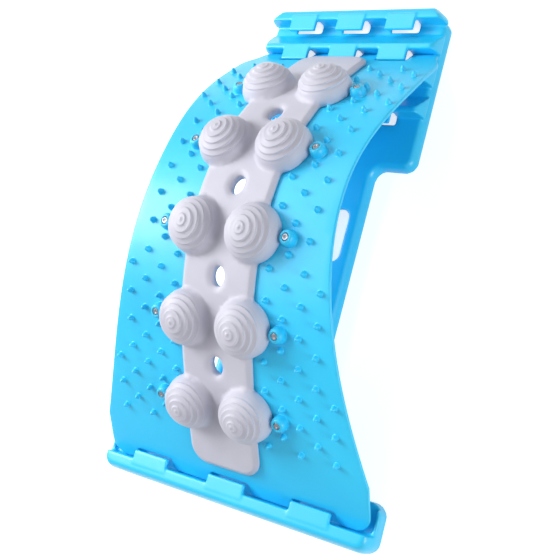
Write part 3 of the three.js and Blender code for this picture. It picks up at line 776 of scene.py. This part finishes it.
def nodule_profile():
    """Radius and height from foot to tip: a small flare, then a slender dome"""
    radius = NODULE_DIAMETER / 2
    profile = [(across * radius, up * NODULE_HEIGHT) for across, up in NODULE_FOOT_SHARES]
    for share in NODULE_RISE_SHARES:
        across = NODULE_STEM_SHARE * radius * (1 - share ** NODULE_FLAT_POWER) ** NODULE_ROUND_POWER
        profile.append((across, share * NODULE_HEIGHT))
    return profile


def boss_profile():
    """Radius and height from foot, over the dome and its rim, down the socket wall"""
    radius = BOSS_SHOWN_DIAMETER / 2
    flat = BOSS_TOP / 2 - BOSS_RIM_INSET
    reach = radius - BOSS_WALL_INSET - flat
    profile = [(radius, 0), (radius - BOSS_FOOT_INSET, BOSS_FOOT_RISE)]
    for share in np.linspace(BOSS_START_SHARE, 1, BOSS_STEPS):
        angle = math.pi / 2 * share
        across = math.cos(angle) ** BOSS_ACROSS_POWER
        profile.append((flat + reach * across, BOSS_HEIGHT * math.sin(angle) ** BOSS_UP_POWER))
    socket = MAGNET_DIAMETER / 2 + GAP
    floor = BOSS_HEIGHT - SOCKET_DEPTH
    profile.extend([
        (socket + SOCKET_EDGE, BOSS_HEIGHT),
        (socket + SOCKET_EDGE_MIDDLE, BOSS_HEIGHT - SOCKET_EDGE_MIDDLE),
        (socket, BOSS_HEIGHT - SOCKET_EDGE),
        (socket, floor + SOCKET_CORNER),
        (socket - SOCKET_CORNER, floor),
    ])
    return profile


def off_domes(plan, clearance):
    """Moves the points that a dome's foot would cover out to its edge"""
    plan = plan.copy()
    for x, s in dome_places:
        away = plan - (x, s)
        reach = np.linalg.norm(away, axis=1, keepdims=True)
        near = (reach < dome_radius + clearance)[:, 0]
        plan[near] = (x, s) + away[near] / reach[near] * (dome_radius + clearance)
    return plan


def grow(skin, x, s, profile, sides, keeps_off_domes):
    """Adds a turned knob to the board's skin; gives its foot ring and the guard ring round it"""
    tip_rise = 0 if keeps_off_domes else NODULE_TIP_RISE

    def foot(radius, extra=0):
        plan = circle(x, s, radius, turns(sides))
        return off_domes(plan, GAP + extra) if keeps_off_domes else plan

    rings = [skin.ring(foot(radius), board_top + height) for radius, height in profile]
    skin.bands(rings)
    skin.fan(rings[-1], (x, s), board_top + profile[-1][1] + tip_rise)
    guard = skin.ring(foot(profile[0][0] + GUARD, GUARD), board_top)
    return rings[0], guard


def grid(half_width, low, high, step_x, step_s):
    """Loose plan points all over a strip"""
    rows = np.arange(low + step_s / 2, high, step_s)
    across = np.arange(-half_width, half_width + step_x, step_x)
    return np.array([(x, s) for s in rows for x in across])


def rim_steps(edge, steps=RIM_STEPS):
    """Insets and drops of a quarter-round edge, from the side wall to the flat face"""
    for step in range(steps + 1):
        angle = math.pi / 2 * step / steps
        yield edge * (1 - math.cos(angle)), edge * (1 - math.sin(angle))


def make_board():
    skin = Skin()
    loops = [board_outline(), *[hole_outline(s, COLLAR + GAP, BOARD_HOLE_SIDES) for s in hole_rows]]
    steps = list(rim_steps(BOARD_EDGE))
    lower, upper, fixed = [], [], []
    for loop in loops:
        under = [skin.ring(drawn_in(loop, inset), drop - board_top) for inset, drop in reversed(steps)]
        over = [skin.ring(drawn_in(loop, inset), board_top - drop) for inset, drop in steps]
        skin.bands(under + over)
        lower.append(under[0])
        upper.append(over[-1])
        fixed.extend(drawn_in(loop, BOARD_EDGE))
    spread = grid(BOARD_FOOT_WIDTH / 2, 0, arch_length, *BOARD_GRID)
    under = loose_points(spread, loops[0], loops[1:], fixed, BOARD_CLEARANCE)
    skin.cap(lower, skin.ring(under, -board_top), False)
    foot_rings, guards = [], []
    knobs = [(place, boss_profile(), BOSS_SIDES, True) for place in boss_places]
    knobs.extend((place, nodule_profile(), NODULE_SIDES, False) for place in nodule_places())
    for (x, s), profile, sides, keeps_off_domes in knobs:
        ring, guard = grow(skin, x, s, profile, sides, keeps_off_domes)
        foot_rings.append(ring)
        guards.extend(guard)
    fixed.extend(skin.plan(guards))
    holes = [*loops[1:], *[skin.plan(ring) for ring in foot_rings]]
    over = loose_points(spread, loops[0], holes, fixed, BOARD_CLEARANCE)
    skin.cap(upper + foot_rings, guards + skin.ring(over, board_top), True)
    return make_piece("arch_moulding", bent(skin), skin.faces)


# Massage pad

def pad_outline():
    """Counter-clockwise: a strip whose sides swell round each dome, with a fillet at every junction"""
    half = PAD_WIDTH / 2
    start, end = PAD_FROM_FOOT, arch_length - PAD_FROM_HEAD
    centre, outside = DOME_SPREAD / 2, half + PAD_FILLET
    reach = math.sqrt((dome_radius + PAD_FILLET) ** 2 - (outside - centre) ** 2)
    tip = math.atan2(reach, outside - centre)
    fillet = tip * np.linspace(0, 1, FILLET_STEPS)
    swell = np.linspace(-tip, tip, DOME_STEPS)[1:-1]
    right = []
    for s in dome_rows:
        right.extend(circle(outside, s - reach, PAD_FILLET, math.pi - fillet))
        right.extend(circle(centre, s, dome_radius, swell))
        right.extend(circle(outside, s + reach, PAD_FILLET, math.pi + fillet[::-1]))
    corners = [(half, start, PAD_CORNER), *[(x, s, 0) for x, s in right], (half, end, PAD_CORNER)]
    return resampled(rounded(mirrored(corners)), PAD_EDGE_STEP)


def dome_table():
    """Radius, height and terrace relief down one dome, from its apex to its foot"""
    angle = np.linspace(math.pi / 2, 0, DOME_SAMPLES)
    radius = dome_radius * np.cos(angle) ** DOME_POWER
    top = PAD_THICKNESS + DOME_HEIGHT - DOME_FLANGE
    height = DOME_FLANGE + top * np.sin(angle) ** DOME_POWER
    run = np.concatenate([[0], np.cumsum(np.hypot(np.diff(radius), np.diff(height)))])
    share = run / run[-1]
    part = share * TERRACES % 1
    lip = part ** TERRACE_LIP_POWER * (1 - smooth((part - TERRACE_LIP_SHARE) / TERRACE_STEP_SHARE))
    ends = 1 - smooth((share - TERRACE_END_SHARE) / TERRACE_FADE_SHARE)
    fade = smooth(share / TERRACE_FADE_SHARE) * ends
    fade *= APEX_FAINT_SHARE + (1 - APEX_FAINT_SHARE) * smooth(share / APEX_REACH_SHARE)
    slope_r, slope_h = np.gradient(radius), np.gradient(height)
    length = np.maximum(np.hypot(slope_r, slope_h), TINY)
    relief = TERRACE_RELIEF * lip * fade
    nipple = NIPPLE_HEIGHT * np.exp(-(radius / NIPPLE_RADIUS) ** 2)
    return share, radius, height, -slope_h / length * relief, slope_r / length * relief + nipple


def blended_top(a, b, width):
    """The higher of two heights, with a fillet where they meet"""
    near = np.maximum(width - np.abs(a - b), 0)
    return np.maximum(a, b) + near * near / (4 * width)


def pad_height(plan, edge_distance):
    """Height over the pad's underside: the strip with its chamfered edge, and the domes on it"""
    _, radius, height, _, _ = dome_table()
    inset = np.clip(edge_distance / PAD_EDGE, 0, 1)
    strip = PAD_THICKNESS - PAD_EDGE_DROP * (1 - inset)
    reach = np.min([np.hypot(plan[:, 0] - x, plan[:, 1] - s) for x, s in dome_places], axis=0)
    dome = np.interp(reach, radius, height) - DOME_EDGE_FALL * np.maximum(reach - dome_radius, 0)
    return blended_top(strip, dome, DOME_BLEND)


def add_dome(skin, x, s):
    """A dome's terraced skin in rings, from the one that the strip joins up to its apex"""
    share, radius, _, push, lift = dome_table()
    first = np.interp(dome_radius - DOME_JOIN, radius, share)
    shares = [(level + part) / TERRACES for level in range(TERRACES) for part in TERRACE_SHARES]
    inner = [value for value in shares if TERRACE_CLEAR_SHARE < value < first - TERRACE_CLEAR_SHARE]
    turn = turns(DOME_SIDES)
    lobes = TERRACE_FAINT_SHARE + (1 - TERRACE_FAINT_SHARE) * np.cos(turn - TERRACE_TURN) ** 2
    rings = []
    for value in (first, *reversed(inner)):
        strength = 1 + (lobes - 1) * smooth((value - LOBE_START_SHARE) / LOBE_GROWTH_SHARE)
        reach = np.interp(value, share, radius)
        flat = circle(x, s, reach, turn)
        level = pad_height(flat, np.full(len(flat), PAD_EDGE))
        plan = circle(x, s, reach + strength * np.interp(value, share, push), turn)
        rings.append(skin.ring(plan, pad_bottom + level + strength * np.interp(value, share, lift)))
    skin.bands(rings)
    skin.fan(rings[-1], (x, s), pad_bottom + PAD_THICKNESS + DOME_HEIGHT + NIPPLE_HEIGHT)
    return rings[0]


def pad_wall(skin, loop, is_hole):
    """The wall along one of the pad's outlines; gives its lowest and its highest ring"""
    if is_hole:
        foot = ((COLLAR, pad_bottom), (COLLAR, COLLAR_FOOT_RISE - board_top),
                (COLLAR - COLLAR_FOOT_INSET, -board_top), (0, -board_top))
    else:
        steps = list(rim_steps(PAD_FOOT_EDGE, PAD_FOOT_STEPS))
        foot = [(inset, pad_bottom + drop) for inset, drop in reversed(steps)]
    rings = [skin.ring(drawn_in(loop, inset), height) for inset, height in foot]
    for inset in PAD_RIM_INSETS:
        plan = drawn_in(loop, inset)
        distance = np.full(len(plan), float(inset + (HOLE_EDGE_SHIFT if is_hole else 0)))
        rings.append(skin.ring(plan, pad_bottom + pad_height(plan, distance)))
    skin.bands(rings)
    return rings[0], rings[-1]


def edge_distances(points, outline, holes):
    """How far each point is from the pad's nearest edge; a hole's edge lies HOLE_EDGE_SHIFT off"""
    edges = [(x, s, 0) for x, s in resampled(outline, EDGE_SEARCH_STEP)]
    edges.extend((x, s, -HOLE_EDGE_SHIFT) for hole in holes for x, s in hole)
    tree = KDTree(len(edges))
    for index, place in enumerate(edges):
        tree.insert(place, index)
    tree.balance()
    return np.array([tree.find((*point, 0))[2] for point in points])


def make_pad():
    skin = Skin()
    outline = pad_outline()
    holes = [hole_outline(s, 0, PAD_HOLE_SIDES) for s in hole_rows]
    lower, upper, fixed = [], [], []
    for loop in (outline, *holes):
        lowest, highest = pad_wall(skin, loop, loop is not outline)
        lower.append(lowest)
        upper.append(highest)
        fixed.extend(skin.plan(highest))
    domes = [add_dome(skin, x, s) for x, s in dome_places]
    for ring in domes:
        fixed.extend(skin.plan(ring))
    spread = grid(dome_radius + DOME_SPREAD / 2, PAD_FROM_FOOT, arch_length - PAD_FROM_HEAD, *PAD_GRID)
    openings = [skin.plan(ring) for ring in upper[1:]]
    under = loose_points(spread[::UNDERSIDE_THINNING], outline, openings, fixed, PAD_CLEARANCE)
    openings.extend(skin.plan(ring) for ring in domes)
    crease = [drawn_in(outline, PAD_EDGE + shift) for shift in (-CREASE_WIDTH / 2, CREASE_WIDTH / 2)]
    crease = loose_points(np.concatenate(crease), outline, openings, fixed, PAD_CLEARANCE)
    over = loose_points(spread, outline, openings, [*fixed, *crease], PAD_TOP_CLEARANCE)
    over = np.concatenate([crease, over])
    heights = pad_bottom + pad_height(over, edge_distances(over, outline, holes))
    skin.cap(upper + domes, skin.ring(over, heights), True)
    skin.cap(lower, skin.ring(under, pad_bottom), False)
    return make_piece("pad_moulding", bent(skin), skin.faces)


# Magnets: short turned pins with a dished face

def make_pin(name, x, s):
    radius = MAGNET_DIAMETER / 2
    dish = DISH_DIAMETER / 2
    floor = board_top + BOSS_HEIGHT - SOCKET_DEPTH + GAP
    profile = [(radius - MAGNET_FOOT_CHAMFER, 0), (radius, MAGNET_FOOT_CHAMFER)]
    edge = rim_steps(MAGNET_EDGE, PIN_EDGE_STEPS)
    profile.extend((radius - inset, MAGNET_LENGTH - drop) for inset, drop in edge)
    profile.append((dish + DISH_LIP_WIDTH, MAGNET_LENGTH))
    profile.append((dish, MAGNET_LENGTH - DISH_LIP_DEPTH))
    for share in DISH_RING_SHARES:
        depth = DISH_DEPTH * (1 - share * share * DISH_EDGE_SHARE)
        profile.append((dish * share, MAGNET_LENGTH - depth))
    skin = Skin()
    rings = [skin.ring(circle(0, 0, reach, turns(PIN_SIDES)), height) for reach, height in profile]
    skin.bands(rings)
    skin.faces.append(rings[0][::-1])
    skin.fan(rings[-1], (0, 0), MAGNET_LENGTH - DISH_DEPTH)
    slope = float(np.interp(s, arch_places, arch_slope))
    across = np.array([1, 0, 0])
    along = np.array([0, math.cos(slope), math.sin(slope)])
    up = np.array([0, -math.sin(slope), math.cos(slope)])
    foot = on_arch(x, s, floor)
    places = [foot + px * across + py * along + pz * up for px, py, pz in skin.points]
    return make_piece(name, places, skin.faces)


# Materials: noise scales are per metre, and bump distances are in metres

def to_linear(value):
    """Undoes the curve of a screen's colours for one channel"""
    return value / 12.92 if value <= 0.04045 else ((value + 0.055) / 1.055) ** 2.4


def linear(code):
    """A colour written as six hex digits, as the shader's linear values"""
    return (*[to_linear(channel / 255) for channel in bytes.fromhex(code)], 1)


class Nodes:
    """A short way to build the node tree of a material or a world"""

    def __init__(self, owner, shader):
        owner.use_nodes = True
        self.owner = owner
        self.tree = owner.node_tree
        self.shader = self.tree.nodes[shader]

    def give(self, node, inputs):
        """Links an input to an output that is given for it, or else sets it"""
        for name, value in inputs.items():
            if isinstance(value, bpy.types.NodeSocket):
                self.tree.links.new(value, node.inputs[name])
            else:
                node.inputs[name].default_value = value

    def add(self, kind, inputs, output):
        node = self.tree.nodes.new(kind)
        self.give(node, inputs)
        return node.outputs[output]

    def noise(self, scale, detail=3, roughness=0.5, distortion=0):
        return self.add("ShaderNodeTexNoise", {
            "Vector": self.add("ShaderNodeTexCoord", {}, "Object"),
            "Scale": scale,
            "Detail": detail,
            "Roughness": roughness,
            "Distortion": distortion,
        }, "Fac")

    def ramp(self, factor, low, high, colours):
        node = self.tree.nodes.new("ShaderNodeValToRGB")
        for element, position, colour in zip(node.color_ramp.elements, (low, high), colours):
            element.position = position
            element.color = linear(colour)
        self.give(node, {"Fac": factor})
        return node.outputs["Color"]

    def spread(self, factor, low, high):
        return self.add("ShaderNodeMapRange", {"Value": factor, "To Min": low, "To Max": high}, "Result")

    def bump(self, height, distance, strength, under=None):
        inputs = {"Height": height, "Distance": distance, "Strength": strength}
        if under:
            inputs["Normal"] = under
        return self.add("ShaderNodeBump", inputs, "Normal")

    def calculate(self, operation, first, second):
        node = self.tree.nodes.new("ShaderNodeMath")
        node.operation = operation
        self.give(node, {0: first, 1: second})
        return node.outputs["Value"]

    def backdrop_rays(self):
        """1 for the rays that show the backdrop itself: the camera's, and those in gloss and glass"""
        path = self.tree.nodes.new("ShaderNodeLightPath")
        seen = path.outputs["Is Camera Ray"]
        for name in ("Is Glossy Ray", "Is Transmission Ray"):
            seen = self.calculate("MAXIMUM", seen, path.outputs[name])
        return seen


def new_material(name):
    return Nodes(bpy.data.materials.new(name), "Principled BSDF")


def moulded_plastic(name, colours, roughness):
    """Glossy moulded plastic: faint cloudiness from the melt, a fine mould grain and slow waves"""
    nodes = new_material(name)
    cloud = nodes.noise(scale=9, detail=4, roughness=0.55, distortion=0.6)
    waves = nodes.bump(nodes.noise(scale=22, detail=2), distance=0.0006, strength=0.1)
    grain = nodes.noise(scale=1400, detail=2)
    nodes.give(nodes.shader, {
        "Base Color": nodes.ramp(cloud, low=0.3, high=0.7, colours=colours),
        "Roughness": nodes.spread(nodes.noise(scale=38), low=roughness - 0.05, high=roughness + 0.07),
        "Normal": nodes.bump(grain, distance=0.00005, strength=0.12, under=waves),
        "IOR": 1.5,
        "Coat Weight": 0.18,
        "Coat Roughness": 0.22,
    })
    return nodes.owner


def soft_rubber(name, colours):
    """Soft moulded rubber: matt, slightly cloudy, with a fine even grain and a faint bloom"""
    nodes = new_material(name)
    cloud = nodes.noise(scale=14, detail=4, roughness=0.6, distortion=0.4)
    waves = nodes.bump(nodes.noise(scale=45, detail=2), distance=0.0003, strength=0.12)
    grain = nodes.noise(scale=1800, detail=2)
    nodes.give(nodes.shader, {
        "Base Color": nodes.ramp(cloud, low=0.3, high=0.72, colours=colours),
        "Roughness": nodes.spread(nodes.noise(scale=60), low=0.42, high=0.56),
        "Normal": nodes.bump(grain, distance=0.00005, strength=0.2, under=waves),
        "IOR": 1.45,
        "Sheen Weight": 0.08,
        "Sheen Roughness": 0.5,
    })
    return nodes.owner


def turned_steel(name, colours):
    """Bright plated steel with faint scuffs"""
    nodes = new_material(name)
    scuff = nodes.noise(scale=900, detail=4, roughness=0.65, distortion=1.2)
    nodes.give(nodes.shader, {
        "Base Color": nodes.ramp(scuff, low=0.35, high=0.7, colours=colours),
        "Roughness": nodes.spread(nodes.noise(scale=1500), low=0.3, high=0.5),
        "Normal": nodes.bump(nodes.noise(scale=2600), distance=0.00004, strength=0.3),
        "Metallic": 1,
    })
    return nodes.owner


def dress(piece, material):
    piece.data.materials.clear()
    piece.data.materials.append(material)


# The stage: a pale floor, which keeps the shadow, a white surround, soft lamps and the camera

def make_floor():
    skin = Skin()
    corners = np.array([(-1, -1), (1, -1), (1, 1), (-1, 1)])
    skin.faces.append(skin.ring(FLOOR_REACH * corners, -FLOOR_GAP))
    floor = make_piece("floor", skin.points, skin.faces)
    nodes = new_material("floor_paper")
    nodes.give(nodes.shader, {
        "Base Color": nodes.ramp(nodes.noise(scale=3), low=0.3, high=0.7, colours=FLOOR_PAPER),
        "Roughness": 0.9,
        "Specular IOR Level": 0.1,
        "Emission Color": WHITE,
        "Emission Strength": nodes.calculate("MULTIPLY", nodes.backdrop_rays(), FLOOR_GLOW),
    })
    dress(floor, nodes.owner)


def make_world():
    world = bpy.data.worlds.new("studio")
    bpy.context.scene.world = world
    nodes = Nodes(world, "Background")
    light = nodes.spread(nodes.backdrop_rays(), low=WORLD_LIGHT, high=1)
    nodes.give(nodes.shader, {"Strength": light, "Color": WHITE})


def add_lamp(name, place, aim, size, power):
    lamp = bpy.data.lights.new(name, "AREA")
    lamp.shape = "RECTANGLE"
    lamp.size, lamp.size_y = size
    lamp.energy = power
    holder = bpy.data.objects.new(name, lamp)
    holder.location = place
    holder.rotation_euler = (Vector(aim) - Vector(place)).to_track_quat("-Z", "Y").to_euler()
    bpy.context.scene.collection.objects.link(holder)


def make_camera():
    camera = bpy.data.cameras.new("camera")
    camera.sensor_width = SENSOR_WIDTH
    camera.lens = CAMERA_LENS
    camera.clip_start = CLIP_START
    right, up = Vector(CAMERA_RIGHT), Vector(CAMERA_UP)
    back = right.cross(up)
    turn = Matrix((right, up, back)).transposed()
    holder = bpy.data.objects.new("camera", camera)
    holder.matrix_world = Matrix.Translation(CAMERA_PLACE) @ turn.to_4x4()
    bpy.context.scene.collection.objects.link(holder)
    bpy.context.scene.camera = holder


bpy.context.scene.view_settings.view_transform = "Standard"
make_camera()
make_world()
make_floor()
for lamp in LAMPS:
    add_lamp(*lamp)

blue_base = moulded_plastic("blue_base_plastic", BASE_BLUE, BASE_ROUGHNESS)
blue_board = moulded_plastic("blue_board_plastic", BOARD_BLUE, BOARD_ROUGHNESS)
rubber = soft_rubber("lavender_rubber", LAVENDER)
steel = turned_steel("magnet_steel_plating", STEEL)

base = soften(make_base(), "base_moulding")
dress(base, blue_base)
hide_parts("base_plate")
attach(base, "base")

board = make_board()
dress(board, blue_board)
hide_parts("arch_board")
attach(board, "board")

pad = make_pad()
dress(pad, rubber)
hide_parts("massage_pad")
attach(pad, "board")

for number, (x, s) in enumerate(boss_places):
    side = "left" if x < 0 else "right"
    node = f"magnet_{side}_{number // 2 + 1}"
    pin = make_pin(f"{node}_pin", x, s)
    dress(pin, steel)
    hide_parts(node)
    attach(pin, "board")
